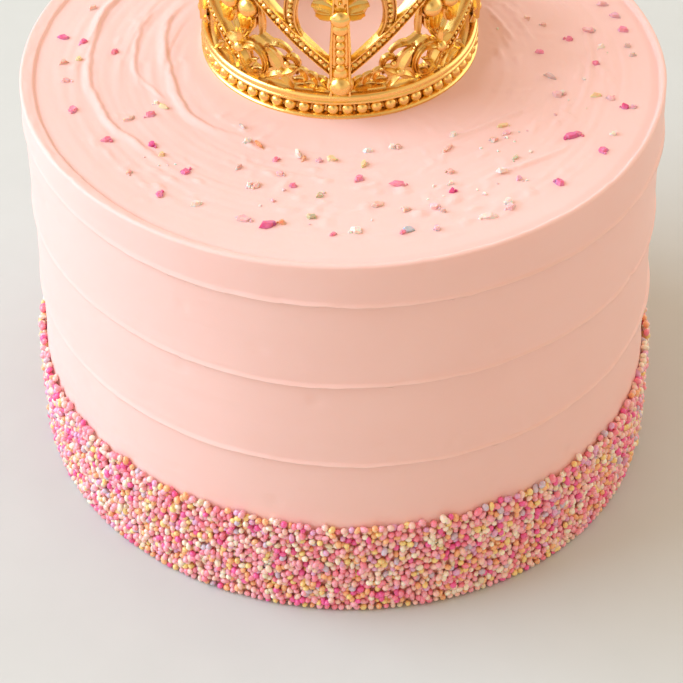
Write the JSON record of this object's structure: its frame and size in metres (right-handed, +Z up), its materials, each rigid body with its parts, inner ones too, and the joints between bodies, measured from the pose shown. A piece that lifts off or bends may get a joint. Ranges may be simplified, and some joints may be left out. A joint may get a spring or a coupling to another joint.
{
  "type": "birthday cake",
  "caption": "Tall round cake in pink buttercream, ridged by the spatula, with a band of sugar beads round its foot, sugar flakes on its top and an openwork gold crown standing on it.",
  "frame": {"origin": "on the ground, under the middle of the whole object's box", "axes": "+Z up; the side of the cake that faces the camera faces -Y; +X is to the camera's right"},
  "size_m": [0.1706, 0.1696, 0.1645],
  "materials": {
    "buttercream": "soft satin buttercream",
    "sugar_beads": "hard sugar beads in mixed colours",
    "sugar_flakes": "hard sugar flakes in mixed colours",
    "gold": "polished gold plating"
  },
  "bodies": {
    "root": {"cake": "buttercream", "crown": "gold"}
  },
  "joints": []
}
